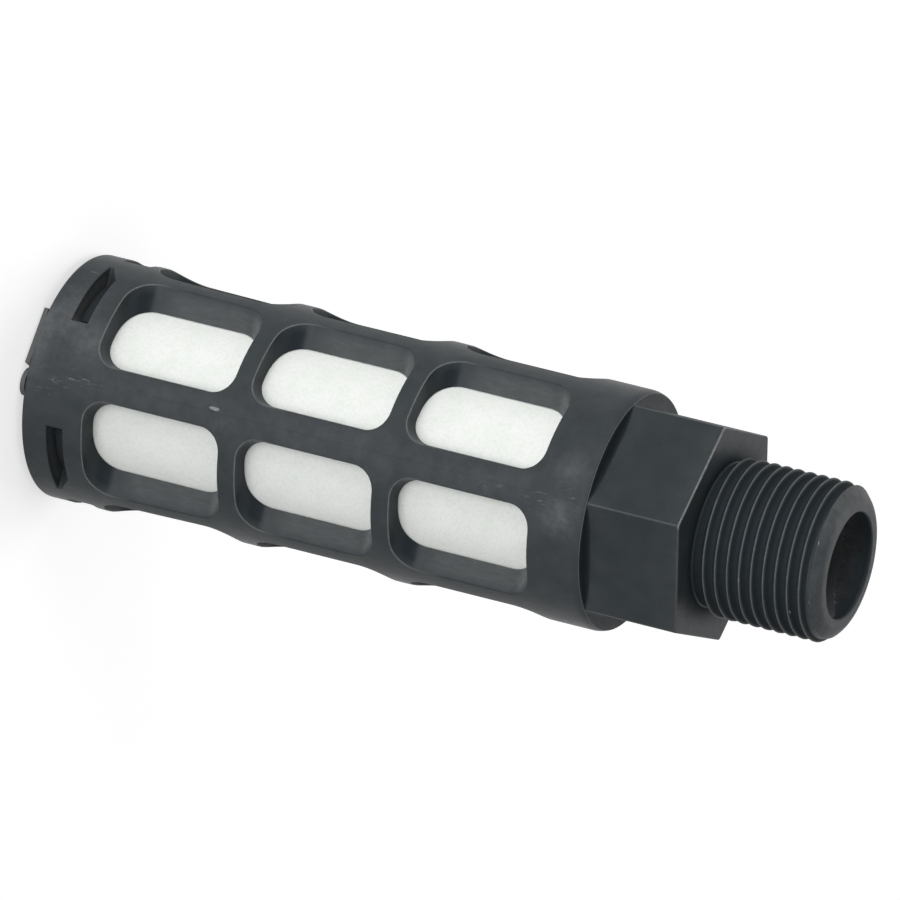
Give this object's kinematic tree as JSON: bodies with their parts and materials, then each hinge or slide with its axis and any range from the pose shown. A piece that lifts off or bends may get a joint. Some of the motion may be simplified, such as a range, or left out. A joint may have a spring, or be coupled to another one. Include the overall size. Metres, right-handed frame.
{
  "type": "pneumatic exhaust silencer",
  "caption": "Moulded exhaust silencer: a windowed cage with hexagon and male pipe thread round a white porous tube, closed by a snap-in cap.",
  "frame": {"origin": "on the axis, at the outer face of the end cap on which the silencer stands", "axes": "+Z along the axis towards the thread; X is the mould's opening direction and the parting line lies in the YZ plane"},
  "size_m": [0.0262, 0.0262, 0.0895],
  "materials": {
    "body_plastic": "satin moulded plastic, charcoal",
    "porous_plastic": "matt sintered plastic, off-white",
    "cap_plastic": "satin moulded plastic, charcoal"
  },
  "bodies": {
    "root": {"cage_body": "body_plastic", "porous_tube": "porous_plastic", "end_cap": "cap_plastic"}
  },
  "joints": []
}
